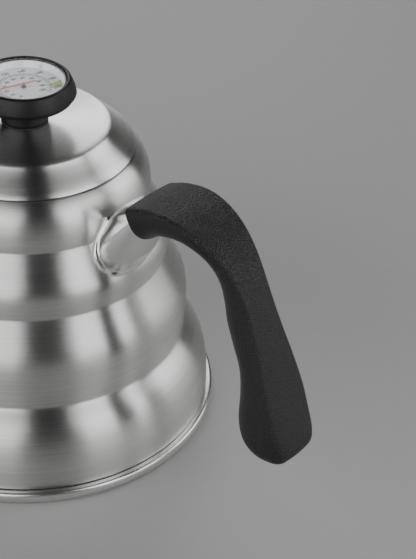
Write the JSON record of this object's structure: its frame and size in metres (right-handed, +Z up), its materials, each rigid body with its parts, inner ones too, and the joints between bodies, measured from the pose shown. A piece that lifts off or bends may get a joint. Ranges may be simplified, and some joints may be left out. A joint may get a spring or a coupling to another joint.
{
  "type": "gooseneck kettle",
  "caption": "Stepped steel pour-over kettle with a slim gooseneck spout, one-armed moulded handle and lift-off lid whose knob is a dial thermometer.",
  "frame": {"origin": "centre of the underside that the kettle stands on, on the axis of the body", "axes": "+Z up along the axis of the body, +X towards the handle, -X towards the spout"},
  "size_m": [0.2735, 0.144, 0.1374],
  "materials": {
    "brushed_steel": "fine circumferential brushing, satin",
    "polished_steel": "bright polish",
    "inner_steel": "plain mill finish",
    "handle_plastic": "fine moulded pebble texture",
    "knob_plastic": "fine satin moulding",
    "dial_white": "matt white with printed scale and green band",
    "bezel_white": "satin white",
    "needle_red": "satin red paint",
    "glass": "clear flat glass",
    "rubber": "matt silicone",
    "brass": "machined",
    "bimetal": "rolled strip"
  },
  "bodies": {
    "kettle": {"body_shell": "brushed_steel", "base_plate": "inner_steel", "base_rim": "polished_steel", "mouth_ring": "brushed_steel", "spout_tube": "brushed_steel", "handle_bracket": "polished_steel", "handle_grip": "handle_plastic", "handle_tang": "inner_steel", "handle_screw": "inner_steel", "screw_washer": "inner_steel", "threaded_insert": "brass"},
    "lid_seat_skirt": {"lid_skirt": "brushed_steel"},
    "lid": {"lid_shell": "brushed_steel", "sealing_washer": "rubber", "knob_grip": "knob_plastic", "thermometer_case": "inner_steel", "nut_washer": "inner_steel", "clamp_nut": "inner_steel", "dial_plate": "dial_white", "bezel_ring": "bezel_white", "lens_gasket": "rubber", "glass_lens": "glass", "probe_tube": "polished_steel", "probe_tip": "polished_steel", "spindle_bush": "brass", "bimetal_coil": "bimetal"},
    "pointer": {"needle": "needle_red", "needle_hub": "inner_steel", "spindle": "inner_steel"}
  },
  "joints": [
    {"name": "lid_lift", "type": "slide", "parent": "kettle", "child": "lid_seat_skirt", "axis": [0, 0, 1], "range_m": [0, 0.13]},
    {"name": "lid_turn", "type": "hinge", "parent": "lid_seat_skirt", "child": "lid", "pos_m": [0, 0, 0.11], "axis": [0, 0, 1], "continuous": true},
    {"name": "needle_turn", "type": "hinge", "parent": "lid", "child": "pointer", "pos_m": [0, 0, 0.135], "axis": [0, 0, -1], "range_deg": [-56, 225], "stiffness_Nm_per_rad": 0.00002}
  ]
}
